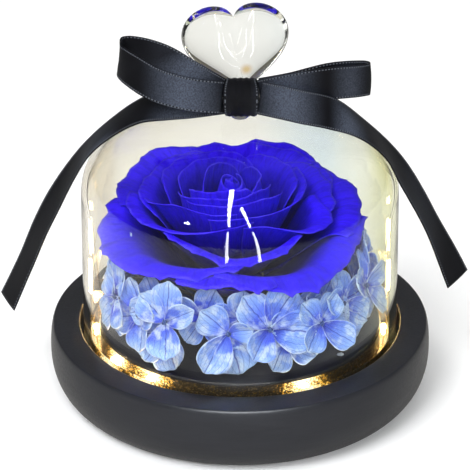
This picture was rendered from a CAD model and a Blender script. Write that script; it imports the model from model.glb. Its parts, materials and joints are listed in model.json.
import json
from math import copysign, cos, exp, pi, radians, sin

import bmesh
import bpy
from mathutils import Euler, Matrix, Vector, noise

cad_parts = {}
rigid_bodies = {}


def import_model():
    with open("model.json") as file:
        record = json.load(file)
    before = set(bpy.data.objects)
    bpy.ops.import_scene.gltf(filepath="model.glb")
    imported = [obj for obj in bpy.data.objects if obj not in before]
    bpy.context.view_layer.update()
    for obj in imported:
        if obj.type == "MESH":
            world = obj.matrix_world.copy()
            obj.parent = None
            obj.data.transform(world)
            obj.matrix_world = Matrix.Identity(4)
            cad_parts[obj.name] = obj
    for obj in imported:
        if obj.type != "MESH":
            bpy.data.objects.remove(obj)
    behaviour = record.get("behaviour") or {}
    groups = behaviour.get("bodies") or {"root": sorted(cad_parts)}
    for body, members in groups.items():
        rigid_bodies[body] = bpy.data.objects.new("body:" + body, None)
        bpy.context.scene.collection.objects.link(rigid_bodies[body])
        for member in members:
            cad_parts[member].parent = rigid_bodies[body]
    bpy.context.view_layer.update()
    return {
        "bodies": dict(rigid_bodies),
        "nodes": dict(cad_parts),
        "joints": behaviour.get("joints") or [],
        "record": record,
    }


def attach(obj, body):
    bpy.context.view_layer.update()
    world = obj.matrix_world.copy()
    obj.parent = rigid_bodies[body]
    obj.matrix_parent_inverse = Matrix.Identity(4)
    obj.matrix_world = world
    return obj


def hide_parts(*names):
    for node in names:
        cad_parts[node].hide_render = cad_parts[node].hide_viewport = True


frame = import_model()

# Values shared with the part's source
BASE_RADIUS = 0.0600
BASE_HEIGHT = 0.0224
BASE_BELLY_HEIGHT = 0.0136
BASE_FOOT_RADIUS = 0.0508
BASE_RIM_RADIUS = 0.0586
BASE_ROUNDNESS = 2.1
RECESS_RADIUS = 0.0506
RECESS_FLOOR = 0.0160
GAP = 0.0003
POCKET_SIZE = (0.0460, 0.0300, 0.0030)
POCKET_CENTRE_Y = 0.0240
POCKET_CORNER = 0.0030
COVER_THICKNESS = 0.0020
DISC_RADIUS = 0.0442
DISC_TOP = 0.0234
GLASS_WALL = 0.0020
DOME_FOOT_RADIUS = 0.0496
DOME_RADIUS = 0.0489
DOME_SHOULDER_HEIGHT = 0.0645
DOME_TOP = 0.0905
DOME_ROUNDNESS = 2.4
FOOT_EDGE = 0.0004
NECK_RADIUS = 0.0046
NECK_TOP = 0.1020
HEART_CENTRE = Vector((-0.0012, 0.0, 0.1139))
HEART_LEAN = radians(-5.5)
HEART_DEPTH = 0.0070
GROOVE_RADIUS = 0.0455
LIGHT_DIRECTIONS = (354, 295, 234, 214, 186, 160, 125, 90, 55, 22)
LIGHT_SIZE = Vector((0.0017, 0.0034, 0.0020))
LIGHT_HEIGHT = 0.0190
RIBBON_WIDTH = 0.0100
RIBBON_THICKNESS = 0.00035
KNOT_CENTRE = Vector((0.0003, -0.0093, 0.1008))
KNOT_SIZE = Vector((0.0104, 0.0044, 0.0114))
NECK_BAND_HEIGHT = 0.0932
NECK_BAND_WIDTH = 0.0074
ROSE_CENTRE = Vector((-0.0028, 0.0060, 0.0325))
ROSE_LEAN = radians(11.0)
ROSE_FRAME = Matrix.Translation(ROSE_CENTRE) @ Matrix.Rotation(ROSE_LEAN, 4, "X")
FRONT_RISE = 1.8
STEM_RADIUS = 0.0050
# Florets with a node, some set a little off their plain solids so that they overlap as in a bunch:
# direction in degrees, height, shell, turn in degrees and size
FLORETS = [
    (239, 0.0400, 3, 45, 0.0122),
    (265, 0.0380, 1, 5, 0.0130),
    (282, 0.0396, 2, 0, 0.0135),
    (304, 0.0390, 3, 60, 0.0122),
    (320, 0.0405, 1, 30, 0.0125),
    (337, 0.0415, 2, 20, 0.0125),
    (356, 0.0435, 0, 75, 0.0125),
    (221, 0.0370, 1, 70, 0.0112),
    (205, 0.0385, 2, 25, 0.0120),
    (186, 0.0400, 0, 50, 0.0120),
    (232, 0.0320, 0, 30, 0.0100),
    (291, 0.0330, 0, 10, 0.0100),
    (28, 0.0390, 2, 15, 0.0125),
    (85, 0.0385, 1, 45, 0.0130),
    (140, 0.0390, 2, 60, 0.0130),
]
FLORET_SHELL_RADIUS = 0.0382
FLORET_SHELL_STEP = 0.0014

# Detail that only the picture needs
# First and last direction, five levels across, and how far the sides fall short of the rim
PETALS = [
    (58, 222, (0.07, 0.09, 0.10, 0.10, 0.12), 0.42),
    (176, 336, (0.22, 0.12, 0.07, 0.06, 0.07), 0.12),
    (-52, 84, (0.07, 0.10, 0.13, 0.15, 0.18), 0.32),
    (178, 372, (0.32, 0.17, 0.13, 0.13, 0.21), 0.08),
    (55, 188, (0.24, 0.32, 0.36, 0.34, 0.27), 0.38),
    (203, 360, (0.27, 0.21, 0.19, 0.20, 0.30), 0.06),
    (178, 278, (0.58, 0.36, 0.30, 0.28, 0.25), 0.05),
    (246, 402, (0.32, 0.30, 0.35, 0.45, 0.60), 0.05),
    (-8, 88, (0.36, 0.43, 0.50, 0.54, 0.50), 0.25),
    (62, 180, (0.40, 0.50, 0.54, 0.50, 0.42), 0.30),
    (166, 294, (0.73, 0.63, 0.51, 0.40, 0.34), 0.04),
    (282, 367, (0.38, 0.42, 0.60, 0.68, 0.56), 0.05),
    (95, 192, (0.62, 0.66, 0.66, 0.62, 0.58), 0.20),
    (220, 320, (0.58, 0.60, 0.69, 0.67, 0.62), 0.05),
    (-12, 55, (0.70, 0.70, 0.71, 0.71, 0.68), 0.12),
    (108, 178, (0.84, 0.94, 0.87, 0.83, 0.78), 0.04),
    (42, 113, (0.78, 0.80, 0.77, 0.73, 0.76), 0.03),
    (246, 290, (0.92, 0.91, 0.88, 0.90, 0.95), 0.06),
    (18, 82, (0.76, 0.80, 0.88, 0.90, 0.86), 0.06),
    (171, 277, (0.84, 0.90, 0.90, 0.84, 0.73), 0.05),
    (-22, 38, (0.86, 0.88, 0.90, 0.88, 0.88), 0.05),
    (262, 359, (0.82, 0.93, 0.99, 0.93, 0.97), 0.05),
]
PETAL_PROFILE = [(0.0025, 0.0120), (0.0080, 0.0180), (0.0070, 0.0320), (0.0040, 0.0400)]
PETAL_SPREAD = [(0.0075, -0.0100), (0.0170, -0.0080), (0.0258, -0.0045), (0.0385, -0.0148)]
RIM_CURL = (0.0025, -0.0012)
# Inner petals by number that stand taller in their middle, like a hood
HOODS = {1: 0.10, 3: 0.04}
# Sepals of the front florets by number: angle, length, width share, bend in degrees, fold share
SEPALS = {
    1: [(93, 0.0126, 0.82, -4, 0.1), (149, 0.0118, 0.84, -10, 0.2), (34, 0.0130, 0.60, 14, 0.7),
        (286, 0.0118, 1.00, 16, 0.3)],
    2: [(139, 0.0108, 1.00, -4, 0.2), (238, 0.0138, 0.80, 10, 0.5), (286, 0.0134, 1.05, 2, 0.2),
        (20, 0.0084, 0.90, 20, 0.3)],
    3: [(125, 0.0130, 0.88, -4, 0.2), (51, 0.0144, 0.98, -8, 0.1), (350, 0.0144, 0.95, 2, 0.3),
        (228, 0.0116, 0.92, 18, 0.4)],
    4: [(317, 0.0130, 0.72, 12, 0.6), (126, 0.0094, 0.92, -6, 0.2), (45, 0.0104, 0.90, -6, 0.3),
        (222, 0.0100, 0.90, 8, 0.3)],
    5: [(2, 0.0126, 1.00, -6, 0.2), (316, 0.0122, 0.95, 2, 0.3), (76, 0.0108, 0.85, -16, 0.3),
        (150, 0.0100, 0.85, 6, 0.4)],
    6: [(8, 0.0124, 0.60, 16, 0.6), (64, 0.0114, 0.85, -10, 0.3), (148, 0.0104, 0.90, 4, 0.3),
        (292, 0.0112, 0.90, 8, 0.3)],
    11: [(318, 0.0118, 1.02, 4, 0.2), (190, 0.0104, 0.95, 2, 0.2), (256, 0.0092, 0.95, 8, 0.3),
         (80, 0.0100, 0.80, -4, 0.2)],
}
# Florets between and behind those, without nodes of their own
FILLERS = [
    (252, 0.0405, -1, 20, 0.0095),
    (270, 0.0412, -1, 35, 0.0095),
    (296, 0.0405, -1, 70, 0.0095),
    (311, 0.0410, -1, 10, 0.0100),
    (329, 0.0330, -1, 55, 0.0105),
    (346, 0.0380, -1, 25, 0.0112),
    (212, 0.0345, -1, 15, 0.0105),
    (196, 0.0440, -1, 60, 0.0112),
    (228, 0.0405, -1, 80, 0.0095),
    (170, 0.0400, 1, 30, 0.0120),
    (155, 0.0360, -1, 10, 0.0115),
    (122, 0.0385, 0, 25, 0.0120),
    (104, 0.0390, 2, 70, 0.0120),
    (66, 0.0385, 2, 15, 0.0122),
    (48, 0.0380, 0, 50, 0.0120),
    (10, 0.0380, 1, 40, 0.0118),
]
LATHE_STEPS = 192
SHOULDER_STEPS = 60
PETAL_COLUMNS = 40
PETAL_ROWS = 30
PETAL_THICKNESS = 0.00028
SEPALS_EACH = 4
SEPAL_COLUMNS = 12
SEPAL_ROWS = 14
SEPAL_THICKNESS = 0.00022
STITCH_PITCH = 0.0008
RIB_PITCH = 0.00032
RECESS_EDGE = 0.0005
DISC_EDGE = 0.0008
WIRE_RADIUS = 0.00022
STALK_RADIUS = 0.0004
TUBE_SIDES = 8
# Where along X the ribbon shines, and how far the shine spreads
SATIN_SHINE = [(-0.0165, 0.0140), (0.0145, 0.0120), (0.0330, 0.0070), (-0.0440, 0.0080), (0.0560, 0.0100)]
# Tones of a petal and of a sepal, from foot to rim
ROSE_TONES = [
    (0.0, (0.002, 0.001, 0.040)),
    (0.34, (0.008, 0.002, 0.20)),
    (0.62, (0.020, 0.005, 0.62)),
    (0.86, (0.038, 0.011, 1.0)),
]
SEPAL_TONES = [
    (0.0, (0.014, 0.026, 0.45)),
    (0.24, (0.07, 0.13, 0.80)),
    (0.55, (0.21, 0.37, 0.96)),
    (1.0, (0.42, 0.62, 1.0)),
]
# Tones of the grains of the foil, and their glow from the dark stretches to beside a light
FOIL_TONES = [(0.0, (0.016, 0.013, 0.009)), (0.7, (0.035, 0.026, 0.015)), (1.0, (0.20, 0.14, 0.06))]
FOIL_GLOW = [
    (0.0, (0.0, 0.0, 0.0)),
    (0.22, (0.10, 0.045, 0.002)),
    (0.42, (0.75, 0.36, 0.03)),
    (0.60, (1.0, 0.72, 0.22)),
    (0.85, (1.0, 0.95, 0.70)),
]
# Fallen crumb of petal on the disc
CRUMB_PLACE = (0.0302, -0.0275)
CRUMB_SIZE = Vector((0.0021, 0.0014, 0.0009))
# Middle of the amber stain inside the tip of the heart
AMBER_SPOT = (0.0018, -0.0058, 0.1086)
# Small warm lamps mirrored in the sides of the dome: place and width
SIDE_GLINTS = [
    (-0.1160, 0.0455, 0.0399, 0.0060),
    (-0.1048, 0.0483, 0.0153, 0.0075),
    (-0.0884, 0.0331, 0.0114, 0.0070),
    (0.1197, 0.0442, 0.0494, 0.0055),
    (0.1071, 0.0451, 0.0166, 0.0070),
    (0.0910, 0.0314, 0.0116, 0.0065),
]
# Tint of the glass from one side of the dome to the other
GLASS_TINTS = [
    (0.02, (0.86, 0.80, 0.68)),
    (0.10, (0.97, 0.96, 0.92)),
    (0.50, (1.0, 1.0, 0.98)),
    (0.76, (0.87, 0.93, 0.96)),
    (0.86, (0.96, 0.98, 0.93)),
    (0.97, (0.90, 0.90, 0.66)),
]
# Point on the front of the glass that the tubes of light face
TUBE_AIM = Vector((0.0, -0.045, 0.076))


# Small helpers for meshes and pieces
def loose_object(name, data):
    obj = bpy.data.objects.new(name, data)
    bpy.context.scene.collection.objects.link(obj)
    return obj


def place(name, mesh, material, nodes=(), location=(0.0, 0.0, 0.0), rotation=(0.0, 0.0, 0.0)):
    """A piece of the model, which may stand for CAD nodes."""
    if material is not None:
        mesh.materials.append(material)
    obj = loose_object(name, mesh)
    obj.location = location
    obj.rotation_euler = rotation
    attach(obj, "root")
    if nodes:
        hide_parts(*nodes)
    return obj


def finish_mesh(name, bm, smooth_angle=40.0):
    bmesh.ops.recalc_face_normals(bm, faces=bm.faces)
    mesh = bpy.data.meshes.new(name)
    bm.to_mesh(mesh)
    bm.free()
    mesh.shade_smooth()
    mesh.set_sharp_from_angle(angle=radians(smooth_angle))
    return mesh


def add_sheet(bm, rows, scale=(1.0, 1.0), wrap=False):
    """A sheet of faces through rows of points, with its own coordinates across and along."""
    uv_layer = bm.loops.layers.uv.get("Sheet") or bm.loops.layers.uv.new("Sheet")
    lines = [[bm.verts.new(point) for point in row] for row in rows]
    columns = len(rows[0])
    across_steps = columns if wrap else columns - 1
    for j in range(len(lines) - 1):
        for i in range(across_steps):
            k = (i + 1) % columns
            face = bm.faces.new((lines[j][i], lines[j][k], lines[j + 1][k], lines[j + 1][i]))
            corners = ((i, j), (i + 1, j), (i + 1, j + 1), (i, j + 1))
            for loop, (a, b) in zip(face.loops, corners):
                loop[uv_layer].uv = (scale[0] * a / across_steps, scale[1] * b / (len(lines) - 1))


def sheet_mesh(name, rows, scale=(1.0, 1.0), wrap=False, smooth_angle=60.0, weld=False):
    bm = bmesh.new()
    add_sheet(bm, rows, scale, wrap)
    if weld:
        bmesh.ops.remove_doubles(bm, verts=bm.verts, dist=1e-7)
    return finish_mesh(name, bm, smooth_angle)


def thicken(obj, thickness, offset=0.0, even=True):
    modifier = obj.modifiers.new("Thickness", "SOLIDIFY")
    modifier.thickness = thickness
    modifier.offset = offset
    modifier.use_even_offset = even


def turned_mesh(name, profile):
    """A solid of revolution about Z from (radius, height) points."""
    bm = bmesh.new()
    verts = [bm.verts.new((radius, 0.0, height)) for radius, height in profile]
    edges = [bm.edges.new((a, b)) for a, b in zip(verts, verts[1:])]
    turn = {"axis": (0, 0, 1), "cent": (0, 0, 0), "angle": 2 * pi, "steps": LATHE_STEPS}
    bmesh.ops.spin(bm, geom=verts + edges, use_merge=True, **turn)
    bmesh.ops.remove_doubles(bm, verts=bm.verts, dist=1e-6)
    return finish_mesh(name, bm, 35.0)


def apply_boolean(obj, other, operation):
    """Bakes a boolean into the object's own mesh and removes the other object."""
    modifier = obj.modifiers.new("Boolean", "BOOLEAN")
    modifier.operation = operation
    modifier.object = other
    modifier.solver = "EXACT"
    graph = bpy.context.evaluated_depsgraph_get()
    mesh = bpy.data.meshes.new_from_object(obj.evaluated_get(graph))
    obj.modifiers.clear()
    obj.data = mesh
    bpy.data.objects.remove(other, do_unlink=True)


def arc_points(steps):
    """Angles of a quarter turn, from 0 to 90 degrees."""
    return [0.5 * pi * i / steps for i in range(steps + 1)]


def full_turn(steps):
    return [2 * pi * i / steps for i in range(steps)]


def on_ring(radius, angle, height):
    return Vector((radius * cos(angle), radius * sin(angle), height))


def between(a, b, c, d, t):
    """A value from b to c on a smooth curve whose neighbours are a and d."""
    return 0.5 * (
        2 * b + (c - a) * t + (2 * a - 5 * b + 4 * c - d) * t**2 + (3 * b - a - 3 * c + d) * t**3
    )


def smooth_route(points, steps):
    """A smooth curve through points, with a number of steps between each pair."""
    ends = [points[0]] + points + [points[-1]]
    route = []
    for a, b, c, d in zip(ends, ends[1:], ends[2:], ends[3:]):
        route += [between(a, b, c, d, i / steps) for i in range(steps)]
    return route + [points[-1]]


def grid(rows, columns, point):
    """Rows of points from a function of two shares from 0 to 1, down the rows and along each."""
    return [[point(j / rows, i / columns) for i in range(columns + 1)] for j in range(rows + 1)]


def wander(seed, x, y, z):
    """A value that changes smoothly with the place, and differs from seed to seed."""
    return noise.noise(seed + Vector((x, y, z)))


def rounded_block(bm, size, centre, corner, edge):
    """A block with rounded upright corners and softened top and bottom edges."""
    matrix = Matrix.Translation(centre) @ Matrix.Diagonal((*size, 1.0))
    made = bmesh.ops.create_cube(bm, size=1.0, matrix=matrix)
    upright = [
        e
        for e in {e for v in made["verts"] for e in v.link_edges}
        if abs(e.verts[0].co.z - e.verts[1].co.z) > 0.5 * size[2]
    ]
    bmesh.ops.bevel(bm, geom=upright, offset=corner, segments=8, profile=0.5, affect="EDGES")
    top = centre[2] + 0.5 * size[2]
    bottom = centre[2] - 0.5 * size[2]
    flat = [
        e
        for e in bm.edges
        if abs(e.verts[0].co.z - e.verts[1].co.z) < 1e-7
        and min(abs(e.verts[0].co.z - top), abs(e.verts[0].co.z - bottom)) < 1e-7
        and abs(e.verts[0].co.x - centre[0]) < 0.5 * size[0] + 1e-6
        and len({round(f.normal.z) for f in e.link_faces}) > 1
    ]
    bmesh.ops.bevel(bm, geom=flat, offset=edge, segments=3, profile=0.5, affect="EDGES")


# Small helpers for node materials
class Value:
    """A node's output, whose arithmetic makes the math nodes for it."""

    def __init__(self, socket):
        self.socket = socket
        self.tree = socket.id_data

    def __add__(self, other):
        return calc("ADD", self, other)

    def __sub__(self, other):
        return calc("SUBTRACT", self, other)

    def __rsub__(self, other):
        return calc("SUBTRACT", other, self)

    def __mul__(self, other):
        return calc("MULTIPLY", self, other)

    def __abs__(self):
        return calc("ABSOLUTE", self)


def feed(socket, value):
    """Gives a node's input a number, a colour or another node's output."""
    if isinstance(value, Value):
        socket.id_data.links.new(value.socket, socket)
    elif socket.type == "RGBA":
        socket.default_value = (*value, 1.0)
    else:
        socket.default_value = value


def node(tree, kind, inputs=None, **settings):
    """A node with its settings and inputs."""
    made = tree.nodes.new(kind)
    for key, value in settings.items():
        setattr(made, key, value)
    for key, value in (inputs or {}).items():
        feed(made.inputs[key], value)
    return made


def tree_of(values):
    return next(value.tree for value in values if isinstance(value, Value))


def calc(operation, *values):
    made = node(tree_of(values), "ShaderNodeMath", dict(enumerate(values)), operation=operation)
    return Value(made.outputs[0])


def vector_calc(operation, *values):
    made = node(tree_of(values), "ShaderNodeVectorMath", dict(enumerate(values)), operation=operation)
    return Value(made.outputs["Value" if operation in ("DISTANCE", "DOT_PRODUCT") else "Vector"])


def largest(first, *others):
    for other in others:
        first = calc("MAXIMUM", first, other)
    return first


def waves(value, count):
    return calc("SINE", value * (2.0 * pi * count))


def ramp(factor, stops, mode="LINEAR"):
    """Colours or grey values along a factor."""
    made = node(factor.tree, "ShaderNodeValToRGB", {0: factor})
    made.color_ramp.interpolation = mode
    while len(made.color_ramp.elements) < len(stops):
        made.color_ramp.elements.new(0.5)
    for element, (position, colour) in zip(made.color_ramp.elements, stops):
        element.position = position
        if not isinstance(colour, tuple):
            colour = (colour, colour, colour)
        element.color = (*colour, 1.0)
    return Value(made.outputs[0])


def speckle(value, low, high):
    """Two tones of a noise value, spread over the middle of its range."""
    return ramp(value, [(0.3, low), (0.7, high)])


def mix(factor, a, b, mode="MIX"):
    inputs = {0: factor, 6: a, 7: b}
    made = node(tree_of((factor, a, b)), "ShaderNodeMix", inputs, data_type="RGBA", blend_type=mode)
    return Value(made.outputs[2])


def stretched(vector, scale):
    return Value(node(vector.tree, "ShaderNodeMapping", {0: vector, 3: scale}).outputs[0])


def split(vector):
    return [Value(part) for part in node(vector.tree, "ShaderNodeSeparateXYZ", {0: vector}).outputs]


def sheet_coordinates(tree):
    """The coordinates of a sheet, and its across and its along as separate values."""
    uv = Value(node(tree, "ShaderNodeUVMap", uv_map="Sheet").outputs[0])
    return [uv] + split(uv)[:2]


def noise_value(vector, scale, detail=3.0, roughness=0.5):
    inputs = {"Vector": vector, "Scale": scale, "Detail": detail, "Roughness": roughness}
    return Value(node(vector.tree, "ShaderNodeTexNoise", inputs).outputs[0])


def bump(height, distance, strength, before=None):
    inputs = {"Height": height, "Distance": distance, "Strength": strength}
    if before is not None:
        inputs["Normal"] = before
    return Value(node(height.tree, "ShaderNodeBump", inputs).outputs[0])


def new_material(name):
    """A material, and its object's own coordinates."""
    material = bpy.data.materials.new(name)
    material.use_nodes = True
    where = node(material.node_tree, "ShaderNodeTexCoord").outputs["Object"]
    return material, Value(where)


def finish(material, inputs):
    """Gives the material's shader its inputs."""
    for key, value in inputs.items():
        feed(material.node_tree.nodes["Principled BSDF"].inputs[key], value)
    return material


# Materials
def speckled(name, scale, detail, tones, rough, relief, stretch=(1.0, 1.0, 1.0), metallic=0.0):
    """A plain finish whose tone, roughness and relief come from one noise."""
    material, where = new_material(name)
    tone = noise_value(stretched(where, stretch), scale, detail)
    return finish(material, {
        "Base Color": speckle(tone, *tones),
        "Roughness": speckle(tone, *rough) if isinstance(rough, tuple) else rough,
        "Metallic": metallic,
        "Normal": bump(tone, *relief),
    })


def painted_wood():
    material, where = new_material("painted_wood")
    grain = noise_value(stretched(where, (1.0, 1.0, 9.0)), 90.0, 4.0)
    fine = noise_value(where, 1400.0, 2.0)
    return finish(material, {
        "Base Color": ramp(grain, [(0.3, (0.0060, 0.0065, 0.0090)), (0.75, (0.0090, 0.0095, 0.0125))]),
        "Roughness": speckle(fine, 0.30, 0.40),
        "Normal": bump(fine, 0.00005, 0.5, bump(grain, 0.00012, 0.35)),
    })


def disc_finish():
    material, where = new_material("disc_finish")
    cloud = noise_value(where, 60.0, 4.0)
    return finish(material, {
        "Base Color": speckle(cloud, (0.0120, 0.0125, 0.0160), (0.0200, 0.0205, 0.0250)),
        "Roughness": speckle(cloud, 0.30, 0.40),
        "Normal": bump(noise_value(where, 1800.0, 2.0), 0.00003, 0.4),
    })


def moulded_plastic():
    material, where = new_material("moulded_plastic")
    spark = noise_value(where, 2600.0, 2.0)
    return finish(material, {
        "Base Color": speckle(noise_value(where, 120.0), (0.016, 0.016, 0.017), (0.022, 0.022, 0.024)),
        "Roughness": speckle(spark, 0.45, 0.6),
        "Normal": bump(spark, 0.00006, 0.6),
    })


def clear_glass(name, bend, tone, mirrored, amber=False):
    """Clear glass that lets the lights and their shadows straight through."""
    material, where = new_material(name)
    wave = noise_value(where, 35.0, 1.0)
    across = split(where)[0] * 10.0 + 0.5 + (wave - 0.5) * 0.12
    tints = [(stop, tuple(a * b for a, b in zip(tone, tint))) for stop, tint in GLASS_TINTS]
    colour = ramp(across, tints, "EASE")
    if amber:
        away = vector_calc("DISTANCE", where, AMBER_SPOT)
        stain = ramp(away * 100.0, [(0.06, 1.0), (0.26, 0.0)], "EASE")
        colour = mix(stain, colour, (0.62, 0.38, 0.12))
    finish(material, {
        "Base Color": colour,
        "Roughness": 0.0,
        "IOR": bend,
        "Transmission Weight": 1.0,
        "Specular Tint": mirrored,
        "Normal": bump(wave, 0.0004, 0.25),
    })
    tree = where.tree
    glass = Value(tree.nodes["Principled BSDF"].outputs[0])
    path = node(tree, "ShaderNodeLightPath").outputs
    through = largest(Value(path["Is Shadow Ray"]), Value(path["Is Diffuse Ray"]))
    clear = Value(node(tree, "ShaderNodeBsdfTransparent", {0: (0.96, 0.96, 0.95)}).outputs[0])
    both = Value(node(tree, "ShaderNodeMixShader", {0: through, 1: glass, 2: clear}).outputs[0])
    feed(tree.nodes["Material Output"].inputs["Surface"], both)
    return material


def satin():
    """Woven satin, bluish where it shines, whose edges carry a row of small pale stitches."""
    material, where = new_material("satin")
    uv, across, along = sheet_coordinates(where.tree)
    x, y = split(where)[:2]
    edge = abs(across - 0.5)
    near_edge = calc("COMPARE", edge, 0.450, 0.016)
    dots = near_edge * calc("GREATER_THAN", waves(along, 1.0 / STITCH_PITCH), 0.1)
    ribs = waves(along, 1.0 / RIB_PITCH)
    cloud = noise_value(where, 140.0)
    thread = noise_value(stretched(uv, (60.0, 9000.0, 1.0)), 1.0, 2.0)
    shine = 0.0
    for centre, spread in SATIN_SHINE:
        shine = calc("MAXIMUM", shine, 1.0 - calc("DIVIDE", abs(x - centre), spread))
    front = ramp(y * -100.0, [(0.2, 0.15), (0.7, 1.0)])
    shine = ramp(shine, [(0.0, 0.0), (1.0, 1.0)], "EASE") * front * speckle(thread, 0.55, 1.0)
    shine = shine * ramp(noise_value(where, 2600.0, 2.0), [(0.35, 0.55), (0.65, 1.25)])
    cloth = speckle(cloud, (0.0030, 0.0032, 0.0042), (0.0055, 0.0058, 0.0075))
    cloth = mix(shine, cloth, (0.075, 0.088, 0.120))
    colour = mix(near_edge, cloth, (0.0015, 0.0015, 0.0022))
    colour = mix(dots, colour, (0.11, 0.12, 0.14))
    colour = mix(calc("GREATER_THAN", edge, 0.488), colour, (0.002, 0.002, 0.003))
    selvedge = calc("GREATER_THAN", edge, 0.425)
    return finish(material, {
        "Base Color": colour,
        "Roughness": speckle(cloud, 0.36, 0.48),
        "Normal": bump(ribs * 0.3 + dots + selvedge * 0.6, 0.00006, 0.6),
        "Specular IOR Level": 0.12,
        "Sheen Weight": 0.03,
        "Sheen Roughness": 0.4,
        "Sheen Tint": (0.75, 0.82, 1.0),
    })


def rose_velvet():
    """Dyed petals: deep at the foot, bright in the blade, paler along the torn rim."""
    material, where = new_material("rose_velvet")
    uv, across, along = sheet_coordinates(where.tree)
    cloud = noise_value(where, 180.0, 4.0, 0.55)
    fibres = noise_value(stretched(uv, (34.0, 3.0, 1.0)), 1.6, 4.0, 0.6)
    folds = noise_value(stretched(uv, (11.0, 2.2, 1.0)), 1.6, 3.0, 0.6)
    body = ramp(along, ROSE_TONES)
    body = mix(1.0, body, speckle(cloud, (0.75, 0.7, 0.86), (1.0, 1.0, 1.0)), "MULTIPLY")
    streaks = ramp(calc("MINIMUM", fibres, folds), [(0.34, (0.42, 0.34, 0.60)), (0.50, (1.0, 1.0, 1.0))])
    body = mix(0.6, body, streaks, "MULTIPLY")
    tip = largest(abs(across - 0.5) * 2.0, along)
    rim = ramp(tip + cloud * 0.012, [(0.978, 0.0), (1.0, 1.0)])
    worn = rim * ramp(cloud, [(0.4, 0.1), (0.65, 0.7)])
    grain = noise_value(where, 2400.0, 2.0)
    return finish(material, {
        "Base Color": mix(worn, body, (0.09, 0.065, 1.0)),
        "Roughness": speckle(fibres, 0.5, 0.68),
        "Normal": bump(grain, 0.00004, 0.4, bump(fibres + folds, 0.00035, 0.8)),
        "Specular IOR Level": 0.06,
        "Sheen Weight": 0.06,
        "Sheen Roughness": 0.45,
        "Sheen Tint": (0.2, 0.16, 1.0),
    })


def sepal_blue():
    """Pale sepals with fine dark veins from their foot and a lighter rim."""
    material, where = new_material("sepal_blue")
    across, along = sheet_coordinates(where.tree)[1:]
    cloud = noise_value(where, 160.0)
    patches = noise_value(where, 330.0)
    centred = across - 0.5 + (noise_value(where, 420.0, 2.0) - 0.5) * 0.09
    side = abs(centred)
    middle = ramp(side, [(0.0, 1.0), (0.030, 0.0)])
    fan = ramp(abs(waves(centred, 3.5)), [(0.0, 1.0), (0.24, 0.0)])
    branch = ramp(abs(waves(along * 9.0 - side * 10.0, 0.5)), [(0.0, 0.8), (0.3, 0.0)])
    hair = ramp(abs(waves(centred, 12.0)), [(0.0, 1.0), (0.6, 0.0)])
    veins = largest(middle, fan * 0.75, branch * 0.55, hair * 0.30)
    blade = ramp(along + (cloud - 0.5) * 0.9, SEPAL_TONES)
    blade = mix(ramp(patches, [(0.48, 0.0), (0.66, 0.75)]), blade, (0.68, 0.82, 1.0))
    lined = mix(veins * 0.95, blade, (0.012, 0.025, 0.33))
    rim = ramp(largest(abs(across - 0.5) * 2.0, along), [(0.955, 0.0), (0.995, 1.0)])
    rim = rim * ramp(patches, [(0.35, 0.25), (0.6, 0.8)])
    grain = noise_value(where, 2200.0, 2.0)
    return finish(material, {
        "Base Color": mix(rim, lined, (0.66, 0.80, 0.98)),
        "Roughness": speckle(cloud, 0.5, 0.65),
        "Normal": bump(grain, 0.00004, 0.4, bump(0.0 - veins, 0.00012, 0.7)),
        "Specular IOR Level": 0.4,
        "Subsurface Weight": 0.10,
        "Subsurface Radius": (0.3, 0.5, 1.0),
        "Subsurface Scale": 0.0008,
    })


def warm_bead():
    """A drop of clear resin that glows from its middle."""
    material, where = new_material("warm_bead")
    tone = noise_value(where, 900.0, 2.0)
    glow = ramp(tone, [(0.3, (1.0, 0.62, 0.24)), (0.6, (1.0, 0.78, 0.42))])
    return finish(material, {
        "Base Color": glow,
        "Emission Color": glow,
        "Emission Strength": 16.0,
        "Roughness": 0.15,
        "Normal": bump(tone, 0.00005, 0.3),
    })


def gold_glitter():
    """Grainy gold foil on the floor of the groove, alight beside each drop."""
    material, where = new_material("gold_glitter")
    tree = where.tree
    cells = node(tree, "ShaderNodeTexVoronoi", {"Vector": where, "Scale": 2600.0}).outputs["Color"]
    grain = Value(node(tree, "ShaderNodeSeparateColor", {0: Value(cells)}).outputs[0])
    outward = vector_calc("NORMALIZE", vector_calc("MULTIPLY", where, (1.0, 1.0, 0.0)))
    aims = [on_ring(1.0, radians(degrees), 0.0) for degrees in LIGHT_DIRECTIONS]
    near = largest(*[vector_calc("DOT_PRODUCT", outward, aim) for aim in aims])
    away = calc("SQRT", largest(1.0 - near, 0.0))
    heat = 1.0 - away * 8.2 + (grain - 0.5) * 0.75 + (noise_value(where, 260.0) - 0.5) * 0.5
    return finish(material, {
        "Base Color": ramp(grain, FOIL_TONES),
        "Emission Color": ramp(heat, FOIL_GLOW),
        "Emission Strength": 1.5,
        "Roughness": ramp(grain, [(0.0, 0.5), (1.0, 0.25)]),
        "Metallic": 0.2,
        "Normal": bump(grain, 0.0003, 0.9),
    })


def pale_floor():
    """Near-white paper that mirrors in the glass as a soft grey."""
    material, where = new_material("pale_floor")
    cloud = noise_value(where, 6.0, 4.0)
    path = node(where.tree, "ShaderNodeLightPath").outputs
    mirrored = Value(path["Is Glossy Ray"]) - Value(path["Is Transmission Ray"])
    paper = speckle(cloud, (0.935, 0.935, 0.93), (0.95, 0.95, 0.945))
    return finish(material, {
        "Base Color": mix(mirrored, paper, (0.42, 0.41, 0.39)),
        "Roughness": 0.6,
        "Emission Color": (1.0, 1.0, 1.0),
        "Emission Strength": 0.08,
    })


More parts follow.
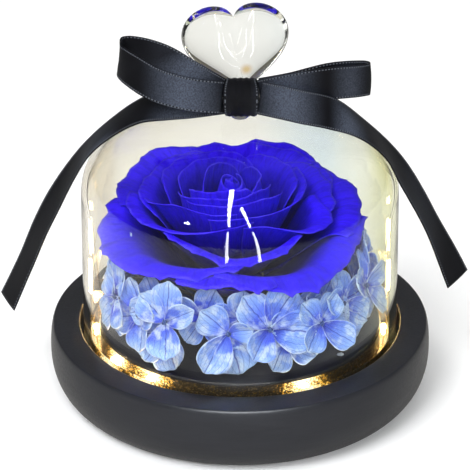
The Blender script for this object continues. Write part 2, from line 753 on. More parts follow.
# Turned base, its battery cover and the disc
def base_profile():
    power = 2.0 / BASE_ROUNDNESS
    profile = [(0.0, 0.0)]
    for a in reversed(arc_points(22)):
        radius = BASE_FOOT_RADIUS + (BASE_RADIUS - BASE_FOOT_RADIUS) * cos(a) ** power
        profile.append((radius, BASE_BELLY_HEIGHT * (1.0 - sin(a) ** power)))
    rise = BASE_HEIGHT - BASE_BELLY_HEIGHT
    for a in arc_points(18)[1:]:
        radius = BASE_RIM_RADIUS + (BASE_RADIUS - BASE_RIM_RADIUS) * cos(a) ** power
        profile.append((radius, BASE_BELLY_HEIGHT + rise * sin(a) ** power))
    for a in arc_points(4):
        radius = RECESS_RADIUS + RECESS_EDGE * (1.0 - sin(a))
        profile.append((radius, BASE_HEIGHT - RECESS_EDGE * (1.0 - cos(a))))
    profile += [(RECESS_RADIUS, RECESS_FLOOR), (0.0, RECESS_FLOOR)]
    return profile


def build_base():
    base = place("turned_base", turned_mesh("turned_base", base_profile()), None, ["base"])
    width, length, depth = POCKET_SIZE
    bm = bmesh.new()
    rounded_block(bm, (width, length, 2 * depth), (0.0, POCKET_CENTRE_Y, 0.0), POCKET_CORNER, 0.0002)
    cutter = loose_object("pocket_cutter", finish_mesh("pocket_cutter", bm))
    apply_boolean(base, cutter, "DIFFERENCE")
    base.data.materials.clear()
    base.data.materials.append(painted_wood())


def build_cover():
    """The cover of the battery box, with six grip ribs and a catch."""
    width, length, depth = POCKET_SIZE
    size = (width - 4 * GAP, length - 4 * GAP, COVER_THICKNESS)
    middle = depth - GAP - 0.5 * COVER_THICKNESS
    bm = bmesh.new()
    rounded_block(bm, size, (0.0, POCKET_CENTRE_Y, middle), POCKET_CORNER, 0.0002)
    below = middle - 0.5 * COVER_THICKNESS
    for i in range(6):
        x = 0.5 * size[0] - 0.0040 - 0.0014 * i
        rounded_block(bm, (0.0006, 0.0120, 0.0006), (x, POCKET_CENTRE_Y, below), 0.00025, 0.0001)
    catch = (-0.5 * size[0] + 0.0035, POCKET_CENTRE_Y, below)
    rounded_block(bm, (0.0030, 0.0080, 0.0005), catch, 0.0008, 0.0001)
    mesh = finish_mesh("battery_lid", bm)
    place("battery_lid", mesh, moulded_plastic(), ["battery_cover"])


def build_disc():
    low = RECESS_FLOOR + GAP
    profile = [(0.0, low), (DISC_RADIUS, low)]
    for a in arc_points(5):
        height = DISC_TOP - DISC_EDGE * (1.0 - sin(a))
        profile.append((DISC_RADIUS - DISC_EDGE * (1.0 - cos(a)), height))
    profile.append((0.0, DISC_TOP))
    mesh = turned_mesh("flower_disc", profile)
    place("flower_disc", mesh, disc_finish(), ["flower_platform"])


def build_crumb():
    """A pale crumb of petal that lies on the disc."""
    bm = bmesh.new()
    bmesh.ops.create_icosphere(bm, subdivisions=3, radius=0.5)
    for v in bm.verts:
        dent = 1.0 + 0.35 * wander(Vector((2.0, 5.0, 1.0)), *(3.5 * v.co))
        v.co = dent * v.co * CRUMB_SIZE
    low = min(v.co.z for v in bm.verts)
    where = (*CRUMB_PLACE, DISC_TOP - low + 0.00005)
    tones = ((0.45, 0.52, 0.62), (0.85, 0.88, 0.92))
    pale = speckled("crumb", 1800.0, 3.0, tones, 0.8, (0.0001, 0.6))
    place("petal_crumb", finish_mesh("petal_crumb", bm), pale, location=where)


# Glass dome with its heart knob
def shoulder_points(radius, top):
    power = 2.0 / DOME_ROUNDNESS
    rise = top - DOME_SHOULDER_HEIGHT
    return [
        (radius * cos(a) ** power, DOME_SHOULDER_HEIGHT + rise * sin(a) ** power)
        for a in arc_points(SHOULDER_STEPS)
    ]


def wall_points(radius, foot_radius, foot):
    """The almost straight wall from the foot up to the shoulder."""
    drop = foot - DOME_SHOULDER_HEIGHT
    shares = [i / 12 for i in range(12, 0, -1)]
    return [(radius + (foot_radius - radius) * s, DOME_SHOULDER_HEIGHT + drop * s) for s in shares]


def wall_profile(radius, foot_radius, edge_radius, top):
    """One side of the glass from its foot to the middle of the roof."""
    foot = RECESS_FLOOR + GAP
    wall = [(edge_radius, foot)] + wall_points(radius, foot_radius, foot + FOOT_EDGE)
    return wall + shoulder_points(radius, top)[:-1] + [(0.0, top)]


def dome_profile():
    inner_foot = DOME_FOOT_RADIUS - GLASS_WALL
    outer = wall_profile(DOME_RADIUS, DOME_FOOT_RADIUS, DOME_FOOT_RADIUS - FOOT_EDGE, DOME_TOP)
    inner = wall_profile(DOME_RADIUS - GLASS_WALL, inner_foot, inner_foot + FOOT_EDGE, DOME_TOP - GLASS_WALL)
    return list(reversed(outer)) + inner


def neck_profile():
    """The short stem under the heart, drawn in where it meets the roof."""
    foot = DOME_TOP + 0.00002
    inset_and_rise = [(0.0022, 0.0), (0.0016, 0.0006), (0.0004, 0.0020), (0.0, 0.0036)]
    route = [Vector((NECK_RADIUS - inset, foot + rise, 0.0)) for inset, rise in inset_and_rise]
    route.append(Vector((NECK_RADIUS, NECK_TOP, 0.0)))
    side = [(point.x, point.y) for point in smooth_route(route, 6)]
    return [(0.0, foot)] + side + [(0.0, NECK_TOP + 0.0010)]


def heart_outline(t):
    across = 16.0 * sin(t) ** 3
    up = 12.2 * cos(t) - 3.2 * cos(2 * t) - 1.6 * cos(3 * t) - 0.5 * cos(4 * t)
    return 0.001 * across, 0.0012 * up


def heart_mesh():
    """A swollen heart with a crease down from its notch on both faces."""
    bm = bmesh.new()
    points = 112
    rings = []
    for layer in range(27):
        a = radians(-86 + 172 * layer / 26)
        scale = cos(a) ** 0.8
        ring = []
        for turn in full_turn(points):
            across, up = heart_outline(turn)
            x, z = across * scale, up * scale
            crease = 0.30 * exp(-((x / 0.0017) ** 2)) * max(0.0, min(1.0, (z + 0.003) / 0.009))
            ring.append(bm.verts.new((x, HEART_DEPTH * sin(a) * (1.0 - crease), z)))
        rings.append(ring)
    for near, far in zip(rings, rings[1:]):
        for i in range(points):
            j = (i + 1) % points
            bm.faces.new((near[i], near[j], far[j], far[i]))
    for ring in (rings[0], rings[-1]):
        cap = bm.verts.new(sum((v.co for v in ring), Vector()) / points)
        for i in range(points):
            bm.faces.new((ring[i], ring[(i + 1) % points], cap))
    return finish_mesh("heart", bm, 50.0)


def build_dome():
    thin = clear_glass("blown_glass", 1.45, (0.955, 0.945, 0.915), (0.45, 0.45, 0.48))
    place("blown_dome", turned_mesh("blown_dome", dome_profile()), thin, ["glass_dome"])
    neck = turned_mesh("glass_heart", neck_profile())
    heart = place("glass_heart", neck, None, ["glass_dome"])
    lobes = loose_object("heart_lobes", heart_mesh())
    lobes.location = HEART_CENTRE
    lobes.rotation_euler = Euler((0.0, HEART_LEAN, 0.0))
    bpy.context.view_layer.update()
    apply_boolean(heart, lobes, "UNION")
    heart.data.materials.clear()
    thick = clear_glass("heart_glass", 1.30, (0.80, 0.80, 0.77), (0.95, 0.95, 1.0), amber=True)
    heart.data.materials.append(thick)
    heart.data.shade_smooth()
    heart.data.set_sharp_from_angle(angle=radians(40.0))


# String of lights in the groove
def build_groove():
    """A trough of thin gold foil: flat on the floor of the groove, upright along both its sides."""
    inner = DISC_RADIUS + 0.00008
    face = DISC_RADIUS + 0.00030
    outer = DOME_FOOT_RADIUS - GLASS_WALL - 0.0003
    low = RECESS_FLOOR
    flat = RECESS_FLOOR + 0.00025
    lip = DISC_TOP - 0.0009
    side = outer - 0.00022
    edge = BASE_HEIGHT - 0.0010
    section = [
        (inner, low), (inner, lip), (face, lip), (face, flat),
        (side, flat), (side, edge), (outer, edge), (outer, low),
    ]
    rows = [[on_ring(radius, a, height) for a in full_turn(LATHE_STEPS)] for radius, height in section]
    mesh = sheet_mesh("groove_foil", rows + [rows[0]], wrap=True, smooth_angle=30.0, weld=True)
    place("groove_foil", mesh, gold_glitter())


def tube_rows(route, radius, closed=False):
    """Rings of points round a route."""
    rows = []
    count = len(route)
    for i, point in enumerate(route):
        before = route[(i - 1) % count] if closed or i > 0 else point
        after = route[(i + 1) % count] if closed or i < count - 1 else point
        along = (after - before).normalized()
        side = along.cross(Vector((0, 0, 1)))
        if side.length < 1e-4:
            side = along.cross(Vector((1, 0, 0)))
        side.normalize()
        up = side.cross(along)
        ways = [cos(a) * side + sin(a) * up for a in full_turn(TUBE_SIDES)]
        rows.append([point + radius * way for way in ways])
    return rows + [rows[0]] if closed else rows


def build_lights():
    steps = 360
    route = []
    for i in range(steps):
        degrees = 360.0 * i / steps
        nearest = min(abs((degrees - d + 180) % 360 - 180) for d in LIGHT_DIRECTIONS)
        lift = exp(-((nearest / 3.2) ** 2))
        height = RECESS_FLOOR + 0.0008 + 0.00035 * sin(radians(degrees * 7))
        height += (LIGHT_HEIGHT - 0.0004 - height) * lift
        radius = GROOVE_RADIUS + 0.0004 * sin(radians(degrees * 5 + 40)) * (1.0 - lift)
        route.append(on_ring(radius, radians(degrees), height))
    rows = tube_rows(route, WIRE_RADIUS, closed=True)
    mesh = sheet_mesh("light_string", rows, wrap=True, smooth_angle=40.0, weld=True)
    tones = ((0.50, 0.32, 0.16), (0.72, 0.50, 0.28))
    copper = speckled("copper_wire", 500.0, 3.0, tones, (0.28, 0.42), (0.00005, 0.4), metallic=1.0)
    place("light_string", mesh, copper, ["led_wire"])
    glow = warm_bead()
    for number, degrees in enumerate(LIGHT_DIRECTIONS, start=1):
        name = f"light_drop_{number:02d}"
        angle = radians(degrees)
        where = on_ring(GROOVE_RADIUS, angle, LIGHT_HEIGHT)
        bm = bmesh.new()
        bmesh.ops.create_uvsphere(bm, u_segments=24, v_segments=16, radius=0.5)
        for v in bm.verts:
            waist = 1.0 - 0.25 * abs(v.co.y) ** 1.5
            v.co = Vector((v.co.x * waist, v.co.y, v.co.z * waist)) * LIGHT_SIZE
        mesh = finish_mesh(name, bm)
        place(name, mesh, glow, [f"led_{number:02d}"], where, (0.0, 0.0, angle))
        lamp = bpy.data.lights.new(f"bead_lamp_{number:02d}", "POINT")
        lamp.color = (1.0, 0.70, 0.36)
        lamp.energy = 0.018
        lamp.shadow_soft_size = 0.0012
        loose_object(lamp.name, lamp).location = where + Vector((0.0, 0.0, 0.0018))


# Satin ribbon: the middle line in millimetres, then the way to its upper edge
LOOP_LEFT = [
    ((-5.3, -10.3, 101), (0, 0.2, 1)),
    ((-15, -12, 102.8), (0, 0.3, 1)),
    ((-24, -12, 105.5), (0, 0.3, 1)),
    ((-31, -9, 108.5), (0.1, 0.2, 1)),
    ((-35.5, -4, 110.5), (0.1, 0.1, 1)),
    ((-32.5, 0, 111.5), (0.3, 0.6, 0.8)),
    ((-25, -2, 110.5), (0.2, 0.7, 0.7)),
    ((-16, -7, 107), (0, 0.4, 0.9)),
    ((-10, -9, 104), (0, 0.3, 1)),
    ((-5.3, -9, 101), (0, 0.2, 1)),
]
TAIL_LEFT = [
    ((-5.3, -7.7, 100), (0, 0.2, 1)),
    ((-13, -7, 98.6), (0.1, 0.35, 0.9)),
    ((-22, -5, 96.5), (0.2, 0.6, 0.75)),
    ((-30, -2.5, 93.5), (0.15, 0.85, 0.5)),
    ((-38, -1, 88), (0, 1, 0.2)),
    ((-45.5, 0, 81), (-0.2, 1, 0)),
    ((-51.5, 1, 72.5), (-0.4, 0.9, -0.1)),
    ((-57, 1, 63), (-0.5, 0.85, -0.15)),
    ((-62, 1, 53), (-0.5, 0.85, -0.15)),
    ((-67, 1, 41), (-0.5, 0.85, 0)),
    ((-73.5, 1, 26.5), (-0.5, 0.83, 0.22)),
]
LOOP_RIGHT = [
    ((5.9, -9, 101), (0, 0.2, 1)),
    ((15, -7, 102), (0, 0.2, 1)),
    ((26, -4.5, 103), (0, 0.1, 1)),
    ((35, -3.5, 103.5), (0, 0.1, 1)),
    ((38.8, -1.5, 103.5), (0, 0.1, 1)),
    ((36.5, 1.5, 103), (0, 0.1, 1)),
    ((27, 2, 102), (0, 0.1, 1)),
    ((15, -3, 101), (0, 0.1, 1)),
    ((5.9, -7.7, 101), (0, 0.2, 1)),
]
TAIL_RIGHT = [
    ((5.9, -10.3, 101), (0, 0.2, 1)),
    ((12, -10.8, 99.8), (0, 0.25, 1)),
    ((19, -10.5, 98), (-0.05, 0.3, 0.95)),
    ((26, -9, 95.8), (-0.1, 0.45, 0.85)),
    ((33, -6.5, 91.8), (-0.1, 0.75, 0.6)),
    ((39.5, -3.5, 86), (0, 0.95, 0.3)),
    ((45.5, -1, 79), (0.2, 1, 0)),
    ((50.5, 0, 71), (0.45, 0.9, -0.1)),
    ((56, 1, 61), (0.55, 0.85, -0.15)),
    ((60.5, 1, 52), (0.55, 0.85, -0.1)),
    ((64.5, 1, 43.5), (0.6, 0.8, 0)),
    ((68.5, 1, 34.5), (0.7, 0.7, 0.15)),
]


def route_length(route):
    return sum((b - a).length for a, b in zip(route, route[1:]))


def satin_piece(name, rows, flat, cloth, offset=0.0, ring=False):
    """A piece of ribbon through rows of points, which may close into a ring."""
    piece = f"satin_{name}"
    mesh = sheet_mesh(piece, rows, (1.0, flat[1]), weld=ring)
    obj = place(piece, mesh, cloth, [f"ribbon_{name}"])
    thicken(obj, RIBBON_THICKNESS, offset)


def build_ribbon_length(name, stations, cloth, held, seed):
    """One length of ribbon from the knot, slightly cupped and waved."""
    steps = 10
    middle = smooth_route([0.001 * Vector(point) for point, _ in stations], steps)
    across = smooth_route([Vector(way).normalized() for _, way in stations], steps)
    last = len(middle) - 1

    def point(s, t):
        i = round(s * last)
        along = (middle[min(last, i + 1)] - middle[max(0, i - 1)]).normalized()
        way = (across[i] - across[i].dot(along) * along).normalized()
        c = 2.0 * t - 1.0
        ease = min(1.0, 6.0 * s) * (min(1.0, 6.0 * (1.0 - s)) if held == "folded" else 1.0)
        cup = 0.00035 * (1.0 - c * c) * sin(2.0 * pi * (1.3 * s + seed))
        wave = 0.00022 * c * sin(2.0 * pi * (2.7 * s + 2.0 * seed))
        return middle[i] + 0.5 * c * RIBBON_WIDTH * way + ease * (cup + wave) * along.cross(way)

    flat = (RIBBON_WIDTH, route_length(middle))
    satin_piece(name, grid(last, 14, point), flat, cloth)


def build_knot(cloth):
    """The wrap over the crossing: a short sleeve of ribbon, pinched and pleated."""
    half = 0.5 * KNOT_SIZE

    def point(t, s):
        x = 2.0 * s - 1.0
        a = 2 * pi * t
        swell = 1.0 + 0.05 * cos(pi * x)
        cy = copysign(abs(cos(a)) ** 0.62, cos(a))
        sz = copysign(abs(sin(a)) ** 0.62, sin(a))
        pleat = 0.00022 * cos(5.0 * pi * x + 0.6 * sin(a)) * abs(sz) ** 0.5
        return KNOT_CENTRE + Vector((
            half.x * x * (1.0 - 0.16 * abs(sz) ** 4),
            (half.y * swell + pleat) * cy,
            (half.z * (0.98 + 0.02 * swell) + 0.6 * pleat) * sz,
        ))

    rows = grid(64, 16, point)
    flat = (KNOT_SIZE.x, max(route_length(turn) for turn in zip(*rows)))
    satin_piece("knot", rows, flat, cloth, ring=True)


def build_neck_band(cloth):
    """The turn of ribbon round the neck, gathered to less than its own width."""
    inner = NECK_RADIUS + 0.0007
    pleats = 0.00045

    def point(t, s):
        a = 2 * pi * t
        pleat = pleats * (1.0 - cos(2 * pi * (3.5 * s + 0.06 * sin(2 * a))))
        return on_ring(inner + pleat, a, NECK_BAND_HEIGHT + NECK_BAND_WIDTH * s)

    flat = (RIBBON_WIDTH, 2 * pi * (inner + pleats))
    satin_piece("neck_band", grid(72, 30, point), flat, cloth, 1.0, ring=True)


def build_ribbon():
    cloth = satin()
    build_neck_band(cloth)
    build_ribbon_length("loop_left", LOOP_LEFT, cloth, "folded", 0.1)
    build_ribbon_length("tail_left", TAIL_LEFT, cloth, "hung", 0.35)
    build_ribbon_length("loop_right", LOOP_RIGHT, cloth, "folded", 0.6)
    build_ribbon_length("tail_right", TAIL_RIGHT, cloth, "hung", 0.85)
    build_knot(cloth)


# Rose
def petal_profile(level, v):
    weights = ((1 - v) ** 3, 3 * v * (1 - v) ** 2, 3 * v**2 * (1 - v), v**3)
    points = [
        (inner[0] + level * out[0], inner[1] + level * out[1])
        for inner, out in zip(PETAL_PROFILE, PETAL_SPREAD)
    ]
    radius = sum(w * point[0] for w, point in zip(weights, points))
    height = sum(w * point[1] for w, point in zip(weights, points))
    curl = level * max(0.0, (v - 0.75) / 0.25) ** 2
    return radius + curl * RIM_CURL[0], height + curl * RIM_CURL[1]


def petal_level(levels, t):
    """The level of a petal at t from 0 to 1 across it, along a smooth curve through its five."""
    place_on = 4.0 * min(1.0, max(0.0, t))
    k = min(3, int(place_on))
    before = levels[max(0, k - 1)]
    after = levels[min(4, k + 2)]
    return between(before, levels[k], levels[k + 1], after, place_on - k)


def petal_point(petal, u, s, stretch):
    """A point of a petal, u across from -1 to 1 and s from foot to rim."""
    first, last, levels, drop = petal
    v = s * (1.0 - drop * abs(u) ** 4 + stretch * s**2)
    opening = 0.55 + 0.45 * sin(0.5 * pi * min(1.0, v / 0.6))
    t = 0.5 + 0.5 * u * opening
    radius, height = petal_profile(petal_level(levels, t), v)
    point = on_ring(radius, radians(first + (last - first) * t), height)
    if point.y < 0.0:
        point.z += FRONT_RISE * point.y**2
    return point


def velvet_piece(name, rows, velvet, nodes=(), wrap=False):
    piece = place(name, sheet_mesh(name, rows, wrap=wrap), velvet, nodes)
    thicken(piece, PETAL_THICKNESS)


def build_petal(number, petal, velvet):
    """One petal with its torn rim, folds and rolled edge."""
    first, last, levels, _ = petal
    level = levels[2]
    span = radians(last - first) * (0.3 + level)
    seed = Vector((3.1 * number, 7.7 * number, 1.3 * number))

    def point(s, t):
        u = 2.0 * t - 1.0
        w = u * span
        rag = 0.030 * wander(seed, 2.2 * w, 0.0, 0.0)
        rag += 0.018 * wander(seed, 6.0 * w, 4.0, 0.0)
        rag += 0.008 * wander(seed, 20.0 * w, 8.0, 0.0)
        rag += level * (0.045 * (1.0 - abs(wander(seed, 1.5 * w, 12.0, 0.0))) ** 12 - 0.010)
        rag += HOODS.get(number, 0.0) * (1.0 - u * u)
        plain = petal_point(petal, u, s, rag)
        outward = Vector((plain.x, plain.y, 0.0)).normalized()
        facing = (outward + Vector((0.0, 0.0, 2.0 * level * s))).normalized()
        push = (0.0003 + 0.0008 * level) * wander(seed, 1.2 * w, 1.6 * s, 2.0) * s
        push += (0.00012 + 0.00034 * level) * wander(seed, 5.0 * w + 1.5 * s, 0.9 * s, 5.0) * s
        ripple = wander(seed, 2.4 * w, 0.0, 9.0)
        push += (0.0002 + 0.0010 * level) * ripple * max(0.0, (s - 0.6) / 0.4) ** 2
        roll = (0.10 + 0.5 * level) * max(0.0, (s - 0.9) / 0.1) ** 2
        roll_way = 0.0004 * outward - Vector((0.0, 0.0, 0.0007))
        return ROSE_FRAME @ (plain + push * facing + roll * roll_way)

    rows = grid(PETAL_ROWS, PETAL_COLUMNS, point)
    velvet_piece(f"velvet_petal_{number:02d}", rows, velvet, [f"rose_petal_{number:02d}"])


def build_bud(velvet):
    """The closed heart of the rose: one sheet rolled up, its mouth drawn in."""
    turns = 2.6
    foot = 0.0125

    def point(h, t):
        a = 2 * pi * turns * t + radians(210.0)
        belly = 0.75 + 0.30 * sin(pi * min(1.0, 0.10 + 0.62 * h))
        belly -= 3.2 * max(0.0, h - 0.78) ** 1.6
        rim = 0.0390 - 0.0016 * t + 0.0009 * sin(1.3 * a + 0.6)
        radius = (0.0006 + 0.0046 * t) * belly
        radius += 0.00012 * noise.noise(Vector((6.0 * t * turns, 5.0 * h, 2.0)))
        return ROSE_FRAME @ on_ring(radius, a, foot + (rim - foot) * h)

    velvet_piece("velvet_bud", grid(26, 120, point), velvet, ["rose_bud"])


def build_guard(velvet):
    """The lowest whorl, one ragged collar under all the open petals."""
    def point(s, a):
        out = on_ring(1.0, a, 0.0)
        rag = 0.05 * noise.noise(3.0 * out) + 0.03 * wander(9.0 * out, 4.0, 0.0, 0.0)
        radius, height = petal_profile(1.05, s * (0.56 + rag))
        if out.y < 0.0:
            height += FRONT_RISE * (radius * out.y) ** 2
        radius += 0.0008 * s * wander(5.0 * out, 0.0, 0.0, 2.0 * s)
        return ROSE_FRAME @ on_ring(radius, a, height)

    rows = [[point(j / 16, a) for a in full_turn(144)] for j in range(17)]
    velvet_piece("velvet_guard", rows, velvet, wrap=True)


def build_receptacle():
    """The seed base under the petals with its stem stub, lightly ribbed."""
    clearance = 0.0006
    top = (PETAL_PROFILE[0][0] - 0.8 * clearance, PETAL_PROFILE[0][1] - 0.6 * clearance)
    low = (top[0] + PETAL_SPREAD[0][0], top[1] + PETAL_SPREAD[0][1])
    upright = Matrix.Translation((ROSE_CENTRE.x, ROSE_CENTRE.y, 0.0))
    key_rings = [
        (upright, STEM_RADIUS, DISC_TOP + GAP),
        (upright, STEM_RADIUS * 0.94, DISC_TOP + 0.0025),
        (ROSE_FRAME, low[0] - 0.0030, low[1] - 0.0015),
        (ROSE_FRAME, low[0], low[1]),
        (ROSE_FRAME, top[0], top[1]),
    ]
    columns = []
    for a in full_turn(48):
        ridge = 1.0 + 0.03 * cos(12 * a)
        column = [where @ on_ring(radius * ridge, a, height) for where, radius, height in key_rings]
        columns.append(smooth_route(column, 5))
    bm = bmesh.new()
    add_sheet(bm, [list(row) for row in zip(*columns)], wrap=True)
    bmesh.ops.holes_fill(bm, edges=[e for e in bm.edges if e.is_boundary], sides=0)
    tones = ((0.006, 0.008, 0.06), (0.02, 0.022, 0.16))
    dyed = speckled("dyed_receptacle", 700.0, 4.0, tones, 0.75, (0.00015, 0.7), (1.0, 1.0, 0.3))
    place("dyed_stem_cup", finish_mesh("dyed_stem_cup", bm), dyed, ["rose_receptacle"])


def build_rose():
    velvet = rose_velvet()
    build_bud(velvet)
    build_guard(velvet)
    for number, petal in enumerate(PETALS, start=1):
        build_petal(number, petal, velvet)


# Hydrangea florets
def add_sepal(bm, frame, length, width, lift, cup, twist, fold, seed):
    """One sepal in a frame whose X runs outwards from the floret's middle and Z faces out."""
    def point(s, t):
        u = 2.0 * t - 1.0
        if s < 0.62:
            share = 0.10 + 0.90 * sin(0.5 * pi * s / 0.62) ** 0.85
        else:
            share = (1.0 - ((s - 0.62) / 0.390) ** 2.6) ** 0.5
        x = length * (0.03 + 0.97 * s) * (1.0 - 0.07 * abs(u) ** 2.2 * s)
        z = lift + cup * (0.55 * s**2 + 0.65 * (u * share) ** 2 * s) + twist * u * s
        z += 0.0006 * wander(seed, 3.0 * u, 2.5 * s, 0.0) * s
        z += 0.0004 * wander(seed, 7.0 * u, 1.0, 4.0) * s**3
        z -= 0.0003 * exp(-((u / 0.14) ** 2)) * s
        z += fold * width * 0.9 * (abs(u) ** 1.3 - 0.4) * sin(pi * min(1.0, s + 0.1)) ** 0.7
        return frame @ Vector((x, width * share * u * (1.0 - 0.12 * fold * s), z))

    add_sheet(bm, grid(SEPAL_ROWS, SEPAL_COLUMNS, point))


def floret_frame(direction, height, radius, tilt, yaw):
    """A frame on the flower's side: its Z faces out, its Y is up."""
    a = radians(direction)
    out = on_ring(1.0, a, 0.0)
    side = Vector((-sin(a), cos(a), 0.0))
    basis = Matrix((side, Vector((0.0, 0.0, 1.0)), out)).transposed().to_4x4()
    lean = Matrix.Rotation(radians(tilt), 4, "X") @ Matrix.Rotation(radians(yaw), 4, "Y")
    return Matrix.Translation(on_ring(radius, a, height)) @ basis @ lean


def add_bead(bm, centre, radius):
    where = Matrix.Translation(centre)
    bmesh.ops.create_uvsphere(bm, u_segments=12, v_segments=8, radius=radius, matrix=where)


def build_floret(name, floret, sepals, petal_blue, stem, nodes=()):
    direction, height, shell, turn, size = floret
    seed = Vector((direction * 0.37, 5.3, height * 900.0))
    if sepals is None:
        sepals = []
        for k in range(SEPALS_EACH):
            vary = noise.noise(seed * (1.7 + k))
            angle = turn + 45.0 + 90.0 * k + 14.0 * noise.noise(seed * (2.9 + k))
            share = 0.94 + 0.12 * noise.noise(seed * (2.3 + k))
            bend = 4.0 + 26.0 * noise.noise(seed * (3.1 + k))
            sepals.append((angle, size * (1.0 + 0.12 * vary), share, bend, 0.2 + 0.5 * abs(vary)))
    bm = bmesh.new()
    radius = FLORET_SHELL_RADIUS + FLORET_SHELL_STEP * shell
    tilt = -16.0 + 14.0 * noise.noise(seed * 1.3)
    yaw = 16.0 * noise.noise(seed * 0.7)
    frame = floret_frame(direction, height, radius, tilt, yaw)
    for k, (angle, length, share, bend, fold) in enumerate(sepals):
        own = frame @ Matrix.Rotation(radians(angle), 4, "Z")
        own = own @ Matrix.Rotation(radians(-bend), 4, "Y")
        width = 0.5 * share * length
        cup = 0.0014 + 0.0010 * noise.noise(seed * (1.9 + k))
        twist = 0.0007 * noise.noise(seed * (3.7 + k))
        lift = 0.0004 * (k % 2)
        add_sepal(bm, own, length, width, lift, cup, twist, fold, seed + Vector((k, 0.0, 0.0)))
    piece = place(name, finish_mesh(name, bm, 70.0), petal_blue, nodes)
    thicken(piece, SEPAL_THICKNESS, even=False)
    build_floret_middle(f"{name}_stem", frame, radians(turn), stem)


def build_floret_middle(name, frame, turn, stem):
    """The small knobs in the middle of a floret, and its stalk down to the disc."""
    bm = bmesh.new()
    for k in range(SEPALS_EACH):
        add_bead(bm, frame @ on_ring(0.0005, 0.5 * pi * k + turn, 0.0008), 0.00042)
    add_bead(bm, frame @ Vector((0.0, 0.0, 0.0011)), 0.00045)
    heart = frame @ Vector((0.0, 0.0, 0.0003))
    out = Vector((heart.x, heart.y, 0.0)).normalized()
    foot = Vector((ROSE_CENTRE.x, ROSE_CENTRE.y, DISC_TOP + 0.0006)) + 0.0080 * out
    halfway = 0.5 * (heart + foot)
    halfway.z = 0.5 * (heart.z + DISC_TOP) + 0.0005
    near = heart - 0.006 * out - Vector((0.0, 0.0, 0.0012))
    route = smooth_route([heart, near, halfway, foot], 6)
    add_sheet(bm, tube_rows(route, STALK_RADIUS), wrap=True)
    place(name, finish_mesh(name, bm), stem)


def build_hydrangea():
    petal_blue = sepal_blue()
    tones = ((0.02, 0.04, 0.16), (0.06, 0.11, 0.30))
    stem = speckled("dyed_stem", 900.0, 3.0, tones, 0.7, (0.0001, 0.6), (1.0, 1.0, 0.25))
    for number, floret in enumerate(FLORETS, start=1):
        nodes = [f"hydrangea_{number:02d}"]
        build_floret(f"floret_{number:02d}", floret, SEPALS.get(number), petal_blue, stem, nodes)
    for number, floret in enumerate(FILLERS, start=1):
        build_floret(f"filler_{number:02d}", floret, None, petal_blue, stem)


# Floor, lights and camera
def build_floor():
    bm = bmesh.new()
    bmesh.ops.create_circle(bm, cap_ends=True, cap_tris=False, segments=128, radius=1.6)
    floor = loose_object("studio_floor", finish_mesh("studio_floor", bm))
    floor.data.materials.append(pale_floor())


def rectangle_lamp(name, size, power, colour=(1.0, 1.0, 1.0)):
    lamp = bpy.data.lights.new(name, "AREA")
    lamp.shape = "RECTANGLE"
    lamp.size, lamp.size_y = size
    lamp.energy = power
    lamp.color = colour
    obj = loose_object(name, lamp)
    obj.visible_camera = False
    return obj


def area_light(name, location, target, size, power, colour=(1.0, 1.0, 1.0), glossy=False):
    obj = rectangle_lamp(name, size, power, colour)
    obj.location = location
    obj.rotation_euler = (Vector(target) - Vector(location)).to_track_quat("-Z", "Y").to_euler()
    obj.visible_glossy = glossy
    obj.visible_transmission = glossy
    return obj


def strip_light(name, start, end, width, radiance):
    """A thin straight tube of light between two points, turned to the dome."""
    middle = 0.5 * (Vector(start) + Vector(end))
    along = Vector(end) - Vector(start)
    length = along.length
    along.normalize()
    aim = TUBE_AIM - middle
    aim = (aim - aim.dot(along) * along).normalized()
    basis = Matrix((-along.cross(aim), along, -aim)).transposed().to_4x4()
    obj = rectangle_lamp(name, (width, length), pi * width * length * radiance)
    obj.matrix_world = Matrix.Translation(middle) @ basis
    return obj


def light_group(name, pieces):
    """The pieces that a lamp of its own is kept to."""
    group = bpy.data.collections.new(name)
    for piece in pieces:
        group.objects.link(bpy.data.objects[piece])
    return group


def build_world():
    """A soft sky, warmer towards the floor."""
    world = bpy.data.worlds.new("studio")
    bpy.context.scene.world = world
    world.use_nodes = True
    tree = world.node_tree
    height = split(Value(node(tree, "ShaderNodeTexCoord").outputs["Generated"]))[2]
    sky = ramp(height, [(0.0, (0.62, 0.58, 0.50)), (0.25, (0.80, 0.79, 0.76)), (1.0, (1.0, 1.0, 1.0))])
    feed(tree.nodes["Background"].inputs["Color"], sky)
    feed(tree.nodes["Background"].inputs["Strength"], 0.26)


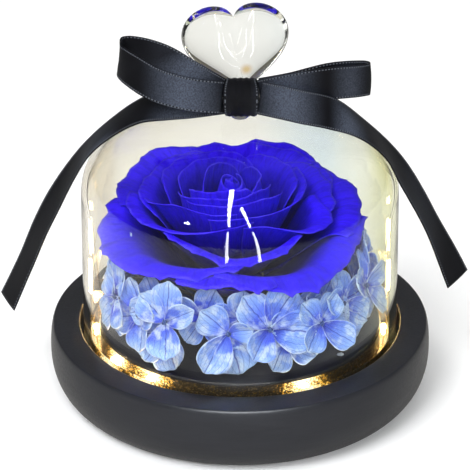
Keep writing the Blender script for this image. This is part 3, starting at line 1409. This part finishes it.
def build_lighting():
    area_light("overhead", (-0.20, 0.10, 2.3), (0.0, 0.15, 0.0), (2.8, 2.8), 30.0, (1.0, 0.995, 0.98))
    area_light("key", (-0.60, -0.75, 1.15), (0.0, 0.0, 0.05), (0.80, 0.80), 18.0, (0.97, 0.98, 1.0))
    area_light("front_fill", (0.20, -1.15, 0.75), (0.0, 0.0, 0.06), (0.6, 0.45), 7.0, (0.93, 0.96, 1.0))
    cool = (0.90, 0.95, 1.0)
    sheen = area_light("base_sheen", (0.0, -0.75, 0.42), (0.0, -0.05, 0.01), (0.55, 0.30), 9.0, cool, True)
    sheen.light_linking.receiver_collection = light_group("base_only", ["turned_base"])
    aim = (0.0, -0.03, 0.07)
    spot = area_light("round_lamp", (-0.454, -0.517, 0.549), aim, (0.06, 0.06), 1.2, glossy=True)
    spot.data.shape = "DISK"
    mirrored = [
        spot,
        strip_light("tube_left_high", (-0.035, 0.030, 0.70), (-0.118, -0.780, 0.70), 0.024, 80.0),
        strip_light("tube_right_high", (0.006, -0.246, 0.70), (0.117, -0.835, 0.70), 0.024, 80.0),
        strip_light("tube_left_low", (-0.026, -0.189, 0.004), (-0.037, -0.260, 0.200), 0.0070, 45.0),
        strip_light("tube_right_low", (0.040, -0.185, 0.004), (0.040, -0.260, 0.200), 0.0070, 45.0),
    ]
    for number, (x, y, z, width) in enumerate(SIDE_GLINTS, start=1):
        size = (width, 1.8 * width)
        power = pi * size[0] * size[1] * 40.0
        aim = (0.0, -0.02, z)
        mirrored.append(area_light(f"glint_{number}", (x, y, z), aim, size, power, (1.0, 0.82, 0.45), True))
    glass = light_group("glass_only", ["blown_dome", "glass_heart"])
    for lamp in mirrored:
        lamp.light_linking.receiver_collection = glass


def build_camera():
    elevation = radians(26.22)
    distance = 0.650
    aim_height = 0.055
    data = bpy.data.cameras.new("camera")
    data.lens = 160.5
    data.sensor_width = 36.0
    data.sensor_fit = "HORIZONTAL"
    data.shift_x = -5.0 / 470.0
    data.shift_y = -13.1 / 470.0
    data.clip_start = 0.01
    data.clip_end = 20.0
    camera = loose_object("camera", data)
    height = aim_height + distance * sin(elevation)
    camera.location = (0.0, -distance * cos(elevation), height)
    camera.rotation_euler = (0.5 * pi - elevation, 0.0, 0.0)
    bpy.context.scene.camera = camera


build_camera()
build_floor()
build_base()
build_cover()
build_disc()
build_crumb()
build_dome()
build_groove()
build_lights()
build_ribbon()
build_receptacle()
build_rose()
build_hydrangea()
build_world()
build_lighting()
bpy.context.scene.view_settings.view_transform = "Standard"
